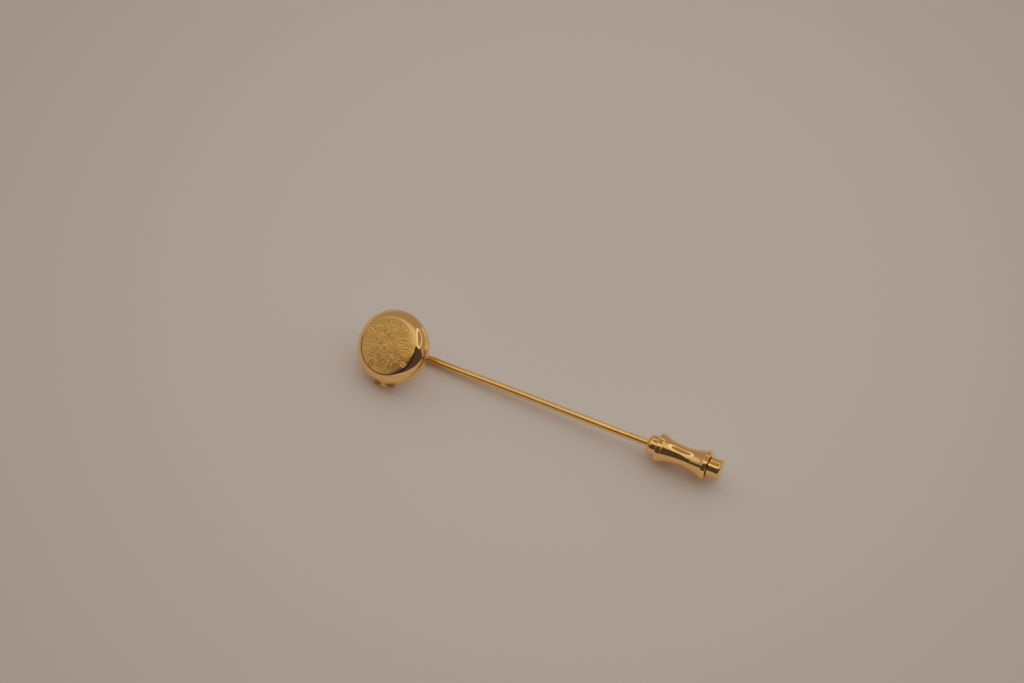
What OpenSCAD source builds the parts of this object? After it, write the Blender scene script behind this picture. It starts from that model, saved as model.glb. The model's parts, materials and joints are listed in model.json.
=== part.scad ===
// Locket stick pin: a small round hinged locket on a long wire pin, with a turned clutch
// that caps the point. The pin lies on a surface by itself, on three spots: the clutch's
// front land, the wire at its bend and the edge of the locket's back.
// Sizes are in millimetres. +X runs along the wire from the locket to the clutch, +Z is up,
// and the origin is the middle of the whole pin's box, at the surface that it lies on.

/* [Locket] */
// Radius of the two rims, over their beads
locket_r = 5.95; // [5.6:0.05:6.2]
// Height of the cover, from the seam to the edge of its face
cover_h = 1.95; // [1.8:0.05:2.2]
// Slope of the cover's domed face at its edge, in degrees
face_slope = 3; // [2:0.5:6]
// Radius of the rounding at the edge of the face
edge_r = 0.35; // [0.3:0.05:0.5]
// Radius of the cover's broad bevel, which is a little round
bevel_r = 2.8; // [2.6:0.1:3]
// Slope where the bevel starts, in degrees
bevel_start = 28; // [24:1:30]
// Slope where the bevel ends, in degrees
bevel_end = 60; // [58:1:62]
// Radius of the rounding at the foot of the bevel
foot_r = 0.7; // [0.5:0.05:0.8]
// Depth of the back, from the seam to its flat face
back_h = 2.1; // [1.9:0.05:2.4]
// Radius of the back's rounded shoulder
shoulder_r = 1.2; // [1:0.05:1.4]
// Thickness of the pressed metal
wall = 0.4; // [0.3:0.05:0.5]
// Radius of the bead round each rim
bead_r = 0.28; // [0.24:0.02:0.32]
// How far a bead stands out of its wall
bead_out = 0.08; // [0.05:0.01:0.12]
// Gap between the two rims
seam_gap = 0.05; // [0.04:0.01:0.08]

/* [Hinge] */
// Direction of the hinge round the locket, from the clutch's side
hinge_turn = -82; // [-110:1:-60]
// Outside radius of the knuckles
knuckle_r = 0.4; // [0.36:0.02:0.42]
// Length of each of the three knuckles
knuckle_len = 1.1; // [0.9:0.05:1.2]
// Gap between two knuckles
knuckle_gap = 0.06; // [0.04:0.01:0.1]
// Distance of the hinge's axis outside the rims
hinge_out = 0.06; // [0.06:0.01:0.2]
// Radius of the hinge's pin
hinge_pin_r = 0.2; // [0.16:0.01:0.22]
// Clearance round the pin in the cover's knuckle
hinge_clearance = 0.03; // [0.02:0.005:0.05]
// Clearance round a knuckle in the other half's rim
hinge_room = 0.05; // [0.04:0.01:0.06]

/* [Wire] */
// Diameter of the wire
wire_d = 1.2; // [1:0.05:1.3]
// Length of the straight wire that shows, from the corner of its bend to the clutch
wire_run = 42.7; // [35:0.1:50]
// Length of the wire inside the clutch
wire_grip = 8; // [7:0.1:8.1]
// Radius of the bend behind the locket
bend_r = 1.6; // [1.4:0.1:1.8]
// Angle between the locket's axis and the wire
lean = 97; // [95:1:105]
// Distance from the locket's back to the middle of the wire
stand_off = 2.4; // [2.2:0.05:2.6]
// Radius of the pad that seats the wire on the back
pad_r = 1.9; // [1.5:0.1:2.5]
// Thickness of that pad
pad_t = 0.5; // [0.4:0.05:0.6]
// Length of the wire's neck, from the corner of its bend to where the clear wire starts
neck_len = 8; // [7:0.5:10]
// Length of clear wire that is left between the cloth and the clutch
end_margin = 1; // [0.5:0.1:2]
// Length of the wire's point
point_len = 2.6; // [2:0.1:3.5]

/* [Clutch] */
// Radius of the nose
nose_r = 1.65; // [1.5:0.05:1.8]
// Radius of the nose's rounded edge
nose_round = 1; // [0.6:0.05:1.1]
// Length of the nose
nose_len = 1.75; // [1.6:0.05:2]
// Radius of the front land
front_r = 2.36; // [2.3:0.02:2.5]
// Length of the front land
front_len = 0.85; // [0.7:0.05:1]
// Radius of the waist at its narrowest
waist_r = 1.64; // [1.56:0.02:1.7]
// Radius of the hollow curve that makes the waist
waist_curve = 9.2; // [9:0.1:9.3]
// Length of the waist between the two lands
waist_len = 7.05; // [6.9:0.05:7.3]
// Place of the narrowest spot, as a share of the waist's length
waist_mid = 0.47; // [0.44:0.01:0.5]
// Radius of the rear land
rear_r = 2.42; // [2.38:0.02:2.5]
// Length of the rear land
rear_len = 0.62; // [0.5:0.02:0.9]
// Radius of the pull knob
knob_r = 1.64; // [1.5:0.02:1.8]
// Length of the pull knob
knob_len = 2.05; // [1.7:0.05:2.2]
// Radius of the knob's rounded end
knob_round = 0.35; // [0.2:0.05:0.5]
// Gap between the rear land and the knob
knob_gap = 0.08; // [0.05:0.01:0.2]
// Radius of the knob's stem
stem_r = 0.95; // [0.8:0.05:1]
// Length of the stem inside the body
stem_len = 1.5; // [1.4:0.05:1.6]
// Clearance round the wire and round the stem
clutch_clearance = 0.04; // [0.03:0.005:0.06]

/* [Hidden] */
$fn = 96;
gold = "goldenrod";
chamfer = 0.1;
eps = 0.01;

// The locket's own frame has its seam at height 0 and its axis along Z, with the clutch
// towards +X. The wire's frame has its origin at the corner of the bend, its X axis along
// the wire and the locket's axis in its XZ plane.
wall_r = locket_r - bead_out;
bead_z = bead_r + seam_gap / 2;
back_face_r = wall_r - shoulder_r;
hinge_x = locket_r + hinge_out;
hinge_half = 1.5 * knuckle_len + knuckle_gap;
wire_r = wire_d / 2;
neck_r = wire_r + eps;
grip_r = wire_r - 2 * eps;
bend_tangent = bend_r / tan(lean / 2);
axis_len = stand_off + back_h;
bore_r = wire_r + clutch_clearance;
body_len = nose_len + front_len + waist_len + rear_len;
bore_depth = wire_grip + 0.3;
stem_bore_len = stem_len + 0.1;

// The cover's outside, from its wall up: the foot, the bevel and the edge of the face are
// arcs that run on in each other, and each has its middle at [distance from axis, height].
function on_arc(middle, radius, slope) = middle + radius * [sin(slope), cos(slope)];
function arc_points(middle, radius, from, to, steps) =
    [for (i = [1:steps]) on_arc(middle, radius, from + (to - from) * i / steps)];
bevel_rise = foot_r * cos(bevel_end) + bevel_r * (cos(bevel_start) - cos(bevel_end))
    + edge_r * (cos(face_slope) - cos(bevel_start));
foot_mid = [wall_r - foot_r, cover_h - bevel_rise];
bevel_mid = on_arc(foot_mid, foot_r - bevel_r, bevel_end);
edge_mid = on_arc(bevel_mid, bevel_r - edge_r, bevel_start);
face_edge = on_arc(edge_mid, edge_r, face_slope);
dome_r = face_edge.x / sin(face_slope);
function bevel_points(inset) = concat(
    [foot_mid + [foot_r - inset, 0]],
    arc_points(foot_mid, foot_r - inset, 90, bevel_end, 5),
    arc_points(bevel_mid, bevel_r - inset, bevel_end, bevel_start, 6)
);

// How the pin lies. The wire rises to the clutch because the clutch's front land is wider
// than the wire, and the whole pin rolls until the locket's back meets the surface.
land_x = wire_run + nose_len + chamfer;
rise = atan((front_r - neck_r) / (land_x - bend_tangent));
lift = neck_r * cos(rise) - bend_tangent * sin(rise) + bend_r * (1 - cos(rise));
back_drop = axis_len - (back_h - shoulder_r);
locket_tilt = acos((shoulder_r - lift) / norm([back_drop, back_face_r])) - atan2(back_face_r, back_drop);
roll = acos((cos(locket_tilt) - cos(lean) * sin(rise)) / (sin(lean) * cos(rise)));

// A direction of the wire's frame, turned as the pin lies
function lay(v) =
    let (y = v.y * cos(roll) - v.z * sin(roll), z = v.y * sin(roll) + v.z * cos(roll))
    [v.x * cos(rise) - z * sin(rise), y, v.x * sin(rise) + z * cos(rise)];
// A direction of the locket's frame, in the wire's frame
function from_locket(v) =
    [v.x * sin(lean) + v.z * cos(lean), v.y, v.z * sin(lean) - v.x * cos(lean)];

locket_axis = lay(from_locket([0, 0, 1]));
seam_centre = axis_len * locket_axis;
hinge_line = lay(from_locket([-sin(hinge_turn), cos(hinge_turn), 0]));
hinge_centre = seam_centre + hinge_x * lay(from_locket([cos(hinge_turn), sin(hinge_turn), 0]));

// How far a ring of round section, or the row of knuckles, reaches along a direction.
// A ring is [its radius, its height over the seam, the radius of its section].
function ring_reach(ring, along) =
    let (c = locket_axis * along)
    seam_centre * along + ring[1] * c + ring[0] * sqrt(1 - c * c) + ring[2];
function knuckle_reach(along) =
    let (c = abs(hinge_line * along))
    hinge_centre * along + hinge_half * c + knuckle_r * sqrt(1 - c * c);
rings = [
    [foot_mid.x, foot_mid.y, foot_r],
    [locket_r - bead_r, bead_z, bead_r],
    [locket_r - bead_r, -bead_z, bead_r],
    [back_face_r, shoulder_r - back_h, shoulder_r],
];
function locket_reach(along) = max([for (ring = rings) ring_reach(ring, along)]);

// The box of the whole pin, seen from above, and the place of its middle
clutch_end = wire_run + body_len + knob_gap + knob_len;
box_right = (clutch_end - knob_round) * cos(rise) + (knob_r - knob_round) * sin(rise) + knob_round;
box_left = -max(locket_reach([-1, 0, 0]), knuckle_reach([-1, 0, 0]));
box_front = -max(locket_reach([0, -1, 0]), knuckle_reach([0, -1, 0]));
box_back = max(locket_reach([0, 1, 0]), rear_r);
middle = [(box_left + box_right) / 2, (box_front + box_back) / 2];

// Lays a piece of the wire's frame on the surface
module lie() {
    translate([-middle.x, -middle.y, lift])
        rotate([0, -rise, 0])
            rotate([roll, 0, 0])
                children();
}

module place_locket() {
    lie()
        rotate([0, 90 - lean, 0])
            translate([0, 0, axis_len])
                children();
}

module place_clutch() {
    lie()
        translate([wire_run, 0, 0])
            rotate([0, 90, 0])
                children();
}

// Half of the back's section, set in by the wall's thickness for its hollow: a wall, a
// quarter-round shoulder and a flat end
module back_section(inset, foot) {
    radius = wall_r - inset;
    h = back_h - inset;
    round_r = shoulder_r - inset;
    translate([0, foot])
        square([radius, h - round_r - foot]);
    translate([0, h - round_r - eps])
        square([radius - round_r, round_r + eps]);
    translate([radius - round_r, h - round_r])
        intersection() {
            circle(round_r);
            translate([-eps, -eps])
                square(round_r + 2 * eps);
        }
}

// Half of the cover's section: its wall, its bevel, the edge of its face and a low dome
// with a small flat in its middle
module cover_outside() {
    dome_mid = [0, face_edge.y - dome_r * cos(face_slope)];
    polygon(concat(
        [[0, bead_z], [wall_r, bead_z]],
        bevel_points(0),
        arc_points(edge_mid, edge_r, bevel_start, face_slope, 3),
        arc_points(dome_mid, dome_r, face_slope, face_slope / 5, 4),
        [[0, on_arc(dome_mid, dome_r, face_slope / 5).y]]
    ));
}

// Half of the cover's hollow, with a flat end
module cover_hollow() {
    points = bevel_points(wall);
    polygon(concat([[0, -1], [wall_r - wall, -1]], points, [[0, points[len(points) - 1].y]]));
}

// Section of one half of the locket, from its seam up. The first child is its outside and
// the second its hollow, and this adds the bead.
module half_section() {
    difference() {
        union() {
            children(0);
            translate([0, seam_gap / 2])
                square([locket_r - bead_r, bead_z]);
            translate([locket_r - bead_r, bead_z])
                circle(bead_r);
        }
        children(1);
        translate([-2 * locket_r, -locket_r])
            square([2 * locket_r, 3 * locket_r]);
    }
}

// A run of cylinder on the hinge's axis, centred at the place y along it
module hinge_run(radius, y, len) {
    rotate([0, 0, hinge_turn])
        translate([hinge_x, y, 0])
            rotate([90, 0, 0])
                cylinder(r = radius, h = len, center = true);
}

// A block that joins a knuckle to its rim, above the seam for side 1 and below it for -1
module hinge_web(y, side) {
    web_in = 0.62;
    web_h = 0.34;
    rotate([0, 0, hinge_turn])
        translate([hinge_x - web_in / 2, y, side * (seam_gap / 2 + web_h / 2)])
            cube([web_in, knuckle_len, web_h], center = true);
}

module locket_back() {
    pitch = knuckle_len + knuckle_gap;
    color(gold)
        place_locket()
            difference() {
                union() {
                    difference() {
                        mirror([0, 0, 1])
                            rotate_extrude()
                                half_section() {
                                    back_section(0, bead_z);
                                    back_section(wall, -1);
                                }
                        hinge_run(knuckle_r + hinge_room, 0, knuckle_len + 2 * knuckle_gap);
                    }
                    for (side = [-1, 1]) {
                        hinge_run(knuckle_r, side * pitch, knuckle_len);
                        hinge_web(side * pitch, -1);
                    }
                }
                hinge_run(hinge_pin_r + eps, 0, 3 * hinge_half);
            }
}

module locket_cover() {
    pitch = knuckle_len + knuckle_gap;
    color(gold)
        place_locket()
            difference() {
                union() {
                    difference() {
                        rotate_extrude()
                            half_section() {
                                cover_outside();
                                cover_hollow();
                            }
                        for (side = [-1, 1])
                            hinge_run(knuckle_r + hinge_room, side * pitch, knuckle_len + 2 * knuckle_gap);
                    }
                    hinge_run(knuckle_r, 0, knuckle_len);
                    hinge_web(0, 1);
                }
                hinge_run(hinge_pin_r + hinge_clearance, 0, 3 * hinge_half);
            }
}

module hinge_pin() {
    color(gold)
        place_locket()
            hinge_run(hinge_pin_r, 0, 2 * hinge_half);
}

// The wire, from its pad on the locket's back round the bend to its point. It tapers by a
// hair along the neck, and again where the clutch grips it.
module stick_pin() {
    overlap = 0.06;
    start = bend_tangent - overlap;
    clear_end = wire_run - end_margin;
    tip = wire_run + wire_grip;
    point_r = 0.08;
    color(gold)
        lie() {
            rotate([0, 90 - lean, 0]) {
                translate([0, 0, stand_off - pad_t])
                    cylinder(r = pad_r, h = pad_t);
                translate([0, 0, start])
                    cylinder(r = wire_r, h = stand_off - start - pad_t / 2);
            }
            translate([bend_tangent, 0, bend_r])
                rotate([90, 0, 0])
                    rotate([0, 0, lean - 270])
                        rotate_extrude(angle = 180 - lean)
                            translate([bend_r, 0])
                                circle(neck_r);
            rotate([0, 90, 0])
                rotate_extrude()
                    polygon([[0, start], [wire_r, start], [neck_r, start + 2 * overlap],
                             [wire_r, neck_len], [wire_r, clear_end],
                             [grip_r, tip - point_len], [point_r, tip], [0, tip]]);
        }
}

module clutch_body() {
    waist_z = nose_len + front_len;
    rear_z = waist_z + waist_len;
    color(gold)
        place_clutch()
            difference() {
                rotate_extrude()
                    intersection() {
                        union() {
                            translate([nose_r - nose_round, nose_round])
                                circle(nose_round);
                            square([nose_r - nose_round, nose_len + eps]);
                            translate([0, nose_round])
                                square([nose_r, nose_len - nose_round + eps]);
                            translate([0, nose_len])
                                polygon([[0, 0], [front_r - chamfer, 0], [front_r, chamfer],
                                         [front_r, front_len - chamfer],
                                         [front_r - chamfer / 2, front_len], [0, front_len]]);
                            difference() {
                                translate([0, waist_z - eps])
                                    square([rear_r, waist_len + 2 * eps]);
                                translate([waist_r + waist_curve, waist_z + waist_len * waist_mid])
                                    circle(waist_curve, $fn = 240);
                            }
                            translate([0, rear_z])
                                polygon([[0, 0], [rear_r, 0], [rear_r, rear_len - chamfer],
                                         [rear_r - chamfer, rear_len], [0, rear_len]]);
                        }
                        square([2 * rear_r, body_len]);
                    }
                translate([0, 0, -1])
                    cylinder(r = bore_r, h = bore_depth + 1);
                translate([0, 0, body_len - stem_bore_len])
                    cylinder(r = stem_r + clutch_clearance, h = stem_bore_len + 1);
            }
}

module clutch_knob() {
    color(gold)
        place_clutch()
            translate([0, 0, body_len + knob_gap])
                rotate_extrude()
                    polygon(concat(
                        [[0, -knob_gap - stem_len], [stem_r, -knob_gap - stem_len], [stem_r, 0],
                         [knob_r - chamfer, 0], [knob_r, chamfer], [knob_r, knob_len - knob_round]],
                        arc_points([knob_r - knob_round, knob_len - knob_round], knob_round, 90, 0, 6),
                        [[0, knob_len]]
                    ));
}

locket_back();
locket_cover();
hinge_pin();
stick_pin();
clutch_body();
clutch_knob();
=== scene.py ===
# %% [markdown]
# # A locket hat pin
# A round hinged locket sits on a long gold wire, and a turned clutch caps the wire's point. The packed
# model holds every piece at its real size. This lesson gives each one the surface that a jeweller gives
# it: soft edges, solder, engraving and polish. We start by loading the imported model. Nothing in it is
# moved, and the places of all the pieces below are worked out from it.

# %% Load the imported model
import json
import math
import bmesh
import bpy
import numpy as np
from mathutils import Matrix, Vector


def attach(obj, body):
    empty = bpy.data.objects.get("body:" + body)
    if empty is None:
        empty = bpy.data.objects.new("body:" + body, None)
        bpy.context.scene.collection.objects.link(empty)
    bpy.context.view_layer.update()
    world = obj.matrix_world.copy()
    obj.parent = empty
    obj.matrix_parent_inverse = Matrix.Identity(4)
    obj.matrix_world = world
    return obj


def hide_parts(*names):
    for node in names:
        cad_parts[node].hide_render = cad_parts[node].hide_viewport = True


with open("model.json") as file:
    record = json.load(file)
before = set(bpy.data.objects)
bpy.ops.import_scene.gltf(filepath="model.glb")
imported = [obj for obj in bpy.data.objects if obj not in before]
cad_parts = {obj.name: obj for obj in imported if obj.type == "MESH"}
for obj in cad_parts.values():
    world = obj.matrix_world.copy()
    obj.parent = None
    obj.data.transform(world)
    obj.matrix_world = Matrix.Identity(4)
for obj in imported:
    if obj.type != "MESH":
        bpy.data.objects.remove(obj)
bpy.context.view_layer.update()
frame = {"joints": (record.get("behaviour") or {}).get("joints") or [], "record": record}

# %% [markdown]
# ## Where things are
# A pin like this is set out from two lines: the straight wire, and the hinge of the locket. Both are in
# the model: the wire as a mount, the hinge as a joint. The locket's axis is square to the hinge and
# leans 97 degrees from the wire, so two lines and one angle place the whole pin. We keep a matrix for
# each place, which takes a piece's own millimetres to the scene's metres.

# %% Find the wire and the locket
MM = 0.001
LEAN = math.radians(97)
HINGE_X = 6.01
NECK_LEN = 8.0
END_MARGIN = 1.0
WIRE_RUN = 42.7

joints = {joint["name"]: joint for joint in frame["joints"]}
mounts = {mount["name"]: mount for mount in frame["record"]["mounts"]}
hinge_at = Vector(joints["cover_hinge"]["pos_m"])
hinge_line = Vector(joints["cover_hinge"]["axis"])
wire_line = Vector(mounts["wire"]["axis"])
wire_mid = Vector(mounts["wire"]["pos_m"])
corner_at = wire_mid - wire_line * (NECK_LEN + WIRE_RUN - END_MARGIN) / 2 * MM


def locket_direction():
    """The locket's axis: square to the hinge, LEAN from the wire, and upward."""
    flat = wire_line - wire_line.dot(hinge_line) * hinge_line
    turn = math.acos(math.cos(LEAN) / flat.length)
    flat.normalize()
    side = hinge_line.cross(flat)
    both = [math.cos(turn) * flat + sign * math.sin(turn) * side for sign in (-1, 1)]
    return max(both, key=lambda axis: axis.z)


def placing(x_line, z_line, at):
    """A matrix from a piece's own millimetres, with X near x_line and Z on z_line, to metres."""
    z = z_line.normalized()
    x = (x_line - x_line.dot(z) * z).normalized()
    turn = Matrix((x, z.cross(x), z)).transposed().to_4x4()
    return Matrix.Translation(at) @ turn @ Matrix.Scale(MM, 4)


locket_line = locket_direction()
seam_at = hinge_at - hinge_line.cross(locket_line) * HINGE_X * MM
in_locket = placing(wire_line, locket_line, seam_at)
on_wire = placing(locket_line, wire_line, corner_at)
in_clutch = placing(locket_line, wire_line, corner_at + wire_line * WIRE_RUN * MM)
hinge_spot = in_locket.inverted() @ hinge_at
hinge_turn = math.atan2(hinge_spot.y, hinge_spot.x)
print("the hinge is at", round(math.degrees(hinge_turn), 2), "degrees round the locket")
print("the seam is", round((seam_at - corner_at).length / MM, 3), "mm from the corner of the wire's bend")

# %% [markdown]
# ## The camera
# The photograph looks down on the pin at about 60 degrees, through a long lens. A long lens keeps the
# near and the far end of a small object at nearly the same scale.

# %% Set up the camera
CAMERA_AZIMUTH = math.radians(24.8)
CAMERA_ELEVATION = math.radians(60)
CAMERA_DISTANCE = 0.4249
CAMERA_LENS = 92.6
CAMERA_TARGET = Vector((-9.19, 11.15, 0)) * MM

to_camera = Vector((
    math.sin(CAMERA_AZIMUTH) * math.cos(CAMERA_ELEVATION),
    -math.cos(CAMERA_AZIMUTH) * math.cos(CAMERA_ELEVATION),
    math.sin(CAMERA_ELEVATION),
))
camera = bpy.data.objects.new("camera", bpy.data.cameras.new("camera"))
camera.data.lens = CAMERA_LENS
camera.data.sensor_width = 36
camera.data.clip_start = 0.01
camera.location = CAMERA_TARGET + to_camera * CAMERA_DISTANCE
camera.rotation_euler = to_camera.to_track_quat("Z", "Y").to_euler()
bpy.context.scene.collection.objects.link(camera)
bpy.context.scene.camera = camera
print("camera at", [round(value / MM, 1) for value in camera.location], "mm")

# %% [markdown]
# ## Outlines
# Turned and pressed metal has no truly sharp edge: a burnisher rounds each one, and that thin rounding
# is what catches the light. So an outline here is a list of corners, each with the radius of its
# rounding, and one function turns it into points. A long straight stretch gets an extra point close to
# each rounding, which keeps the shading of the straight stretch straight.

# %% Rounded outlines
EASE = 0.015


def arc(centre, radius, start, end, steps):
    """Points on an arc, from the angle start to the angle end in degrees."""
    angles = np.radians(np.linspace(start, end, steps + 1))
    return [(centre[0] + radius * math.cos(a), centre[1] + radius * math.sin(a)) for a in angles]


def rounded(corners):
    """Points of an outline through corners (x, y, radius of the rounding)."""
    points = [tuple(corners[0][:2])]
    for before, corner, after in zip(corners, corners[1:], corners[2:]):
        middle = np.array(corner[:2], float)
        radius = corner[2]
        if radius == 0:
            points.append(tuple(middle))
            continue
        back = np.array(before[:2]) - middle
        ahead = np.array(after[:2]) - middle
        room_back, room_ahead = np.linalg.norm(back), np.linalg.norm(ahead)
        back, ahead = back / room_back, ahead / room_ahead
        half = math.acos(np.clip(back @ ahead, -1, 1)) / 2
        reach = radius / math.tan(half)
        centre = middle + (back + ahead) / np.linalg.norm(back + ahead) * radius / math.sin(half)
        first = middle + back * reach - centre
        last = middle + ahead * reach - centre
        swing = math.degrees(math.pi - 2 * half)
        start = math.degrees(math.atan2(first[1], first[0]))
        turn = math.degrees(math.atan2(last[1], last[0])) - start
        turn = (turn + 180) % 360 - 180
        steps = max(4, math.ceil(swing / 4 * math.sqrt(radius)))
        if room_back > reach + 2 * EASE:
            points.append(tuple(middle + back * (reach + EASE)))
        points += arc(centre, radius, start, start + turn, steps)
        if room_ahead > reach + 2 * EASE:
            points.append(tuple(middle + ahead * (reach + EASE)))
    points.append(tuple(corners[-1][:2]))
    return points


# %% [markdown]
# ## From an outline to a turned piece
# A lathe makes a round piece by holding a tool against spinning metal. Here a function spins the
# outline itself: each point of it becomes a ring of points, and a point on the axis stays single. The
# Screw modifier could do the same, but a function lets us join rings of other shapes to it later.

# %% Spin an outline
SMOOTH_ANGLE = math.radians(38)


def join_rings(rings):
    """Faces between neighbouring rings of point numbers, with triangles where a ring is one point."""
    faces = []
    for low, high in zip(rings, rings[1:]):
        for i in range(len(low)):
            j = (i + 1) % len(low)
            corners = dict.fromkeys((low[i], low[j], high[j], high[i]))
            if len(corners) > 2:
                faces.append(tuple(corners))
    return faces


def spin(outline, turns):
    """Points and faces of an outline of (radius, height) spun round Z."""
    angles = np.arange(turns) * 2 * math.pi / turns
    points, rings = [], []
    for radius, height in outline:
        if radius < 1e-6:
            rings.append([len(points)] * turns)
            points.append((0.0, 0.0, height))
            continue
        rings.append(list(range(len(points), len(points) + turns)))
        points += [(radius * math.cos(a), radius * math.sin(a), height) for a in angles]
    return points, join_rings(rings)


def make_piece(name, points, faces, place):
    """A smooth object of these points and faces, with its faces turned outward."""
    mesh = bpy.data.meshes.new(name)
    mesh.from_pydata(points, [], faces)
    shape = bmesh.new()
    shape.from_mesh(mesh)
    bmesh.ops.recalc_face_normals(shape, faces=shape.faces)
    shape.to_mesh(mesh)
    shape.free()
    mesh.transform(place)
    finish_shading(mesh)
    piece = bpy.data.objects.new(name, mesh)
    bpy.context.scene.collection.objects.link(piece)
    return piece


def finish_shading(mesh):
    """Smooth shading, with an edge kept crisp only where the metal really has a crease."""
    mesh.shade_smooth()
    mesh.set_sharp_from_angle(angle=SMOOTH_ANGLE)


def measure(piece, scale=MM):
    """How many triangles a piece has, and its metal in cubic millimetres."""
    shape = bmesh.new()
    shape.from_mesh(piece.data)
    volume = shape.calc_volume(signed=True) / scale ** 3
    shape.free()
    triangles = sum(len(face.vertices) - 2 for face in piece.data.polygons)
    return f"{piece.name}: {triangles} triangles, {volume:.1f} mm3"


# %% [markdown]
# The gold will later need to know where it darkens: tarnish in a cut line, and painted shade in a narrow
# gap. So a piece can carry marks: a number on each point, under a name that the material reads.

# %% Marks on points
def spots_of(piece, place):
    """The points of a piece, in its own millimetres."""
    spots = np.empty(3 * len(piece.data.vertices))
    piece.data.vertices.foreach_get("co", spots)
    back_home = np.array(place.inverted())
    return spots.reshape(-1, 3) @ back_home[:3, :3].T + back_home[:3, 3]


def add_mark(piece, name, values):
    """Keeps a number on each point."""
    mark = piece.data.attributes.new(name, "FLOAT", "POINT")
    mark.data.foreach_set("value", np.asarray(values, np.float32))


# %% [markdown]
# ## The clutch
# The clutch is turned from rod in one go: a rounded nose, a front land, a hollow waist for the fingers
# and a rear land. Its bore takes the wire, and a wider one at the back takes the knob's stem.

# %% Turn the clutch's body
NOSE_R, NOSE_ROUND, NOSE_LEN = 1.65, 1.0, 1.75
FRONT_R, FRONT_LEN = 2.36, 0.85
WAIST_R, WAIST_CURVE, WAIST_LEN, WAIST_MID = 1.64, 9.2, 7.05, 0.47
REAR_R, REAR_LEN = 2.42, 0.62
BORE_R, BORE_DEPTH = 0.64, 8.3
STEM_BORE_R, STEM_BORE_LEN = 0.99, 1.6
BODY_LEN = NOSE_LEN + FRONT_LEN + WAIST_LEN + REAR_LEN
CLUTCH_TURNS = 256
GAP_PAINTED_SHADE = 2.0


def waist_points():
    """The hollow curve of the waist, from the front land until it meets the rear land."""
    front = NOSE_LEN + FRONT_LEN
    middle = front + WAIST_LEN * WAIST_MID
    centre_r = WAIST_R + WAIST_CURVE
    start = math.degrees(math.asin((front - middle) / WAIST_CURVE))
    end = math.degrees(math.acos((centre_r - REAR_R) / WAIST_CURVE))
    return [(2 * centre_r - x, y) for x, y in arc((centre_r, middle), WAIST_CURVE, start, end, 48)]


def clutch_outline():
    """From the floor of the wire's bore, round the outside, to the floor of the stem's bore."""
    waist = waist_points()
    waist_start, waist_end = waist[0], waist[-1]
    nose = rounded([
        (0, BORE_DEPTH), (BORE_R, BORE_DEPTH, 0.05), (BORE_R, 0, 0.05), (NOSE_R, 0, NOSE_ROUND * 0.9),
        (NOSE_R, NOSE_LEN, 0.04), (FRONT_R, NOSE_LEN, 0.12), (FRONT_R, NOSE_LEN + FRONT_LEN, 0.08),
        (waist_start[0], NOSE_LEN + FRONT_LEN, 0),
        waist_start,
    ])
    tail = rounded([
        waist_end, (REAR_R, waist_end[1] + EASE, 0), (REAR_R, BODY_LEN, 0.1),
        (STEM_BORE_R, BODY_LEN, 0.05), (STEM_BORE_R, BODY_LEN - STEM_BORE_LEN, 0.05),
        (0, BODY_LEN - STEM_BORE_LEN),
    ])
    return nose[:-1] + waist + tail[1:]


clutch_body = make_piece("turned_clutch", *spin(clutch_outline(), CLUTCH_TURNS), in_clutch)
spots = spots_of(clutch_body, in_clutch)
behind_knob = (np.hypot(spots[:, 0], spots[:, 1]) < 1.6) & (spots[:, 2] > NOSE_LEN)
# Painted shade: the points in the bores and round the stem's bore, by the knob's gap, are darkened.
add_mark(clutch_body, "cut", GAP_PAINTED_SHADE * behind_knob)
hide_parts("clutch_body")
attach(clutch_body, "clutch")
print(measure(clutch_body))

# %% [markdown]
# ## The pull knob
# The knob is turned too, with a stem that runs into the clutch's tail, and pulling it lets go of the
# wire. It moves on its own, so it is a piece of its own, with a gap of 0.08 mm before it. The points on
# both sides of that gap are marked, and the gold darkens them as painted shade. The helpers that rounded
# and spun the clutch's outline do the same for this one.

# %% Turn the pull knob
KNOB_R, KNOB_LEN, KNOB_GAP, KNOB_ROUND = 1.64, 2.05, 0.08, 0.35
STEM_R, STEM_LEN = 0.95, 1.5
KNOB_FOOT = BODY_LEN + KNOB_GAP

knob_outline = rounded([
    (0, BODY_LEN - STEM_LEN), (STEM_R, BODY_LEN - STEM_LEN, 0.05),
    (STEM_R, KNOB_FOOT, 0), (KNOB_R, KNOB_FOOT, 0.08), (KNOB_R, KNOB_FOOT + KNOB_LEN, KNOB_ROUND),
    (0, KNOB_FOOT + KNOB_LEN),
])
knob = make_piece("pull_knob", *spin(knob_outline, CLUTCH_TURNS), in_clutch)
# Painted shade on the knob's stem and on its foot by the gap.
add_mark(knob, "cut", GAP_PAINTED_SHADE * (spots_of(knob, in_clutch)[:, 2] < KNOB_FOOT + 0.02))
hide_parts("clutch_knob")
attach(knob, "knob")
print(measure(knob))

# %% [markdown]
# ## The wire
# The wire is drawn, bent once behind the locket and soldered there through a round pad. Its far end is
# ground to a point. All of it is one sweep: a circle carried along the middle line, with its own
# heading and radius at each step. A curve object with a bevel could do it too, but it can't widen into
# the pad. Drawn wire is never quite straight, and a few hundredths of a millimetre of waver break up
# its long reflections. Near the locket the wire is made browner and darker, fading out along it.

# %% Sweep the wire
WIRE_R, NECK_R, GRIP_R, POINT_R = 0.6, 0.61, 0.58, 0.08
STAND_OFF, BEND_R = 2.4, 1.6
PAD_R, PAD_T = 1.9, 0.5
WIRE_GRIP, POINT_LEN = 8.0, 2.6
BEND_TANGENT = BEND_R / math.tan(LEAN / 2)
WAVER_SIDE, WAVER_UP = 0.035, 0.03
WIRE_TURNS = 64


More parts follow.
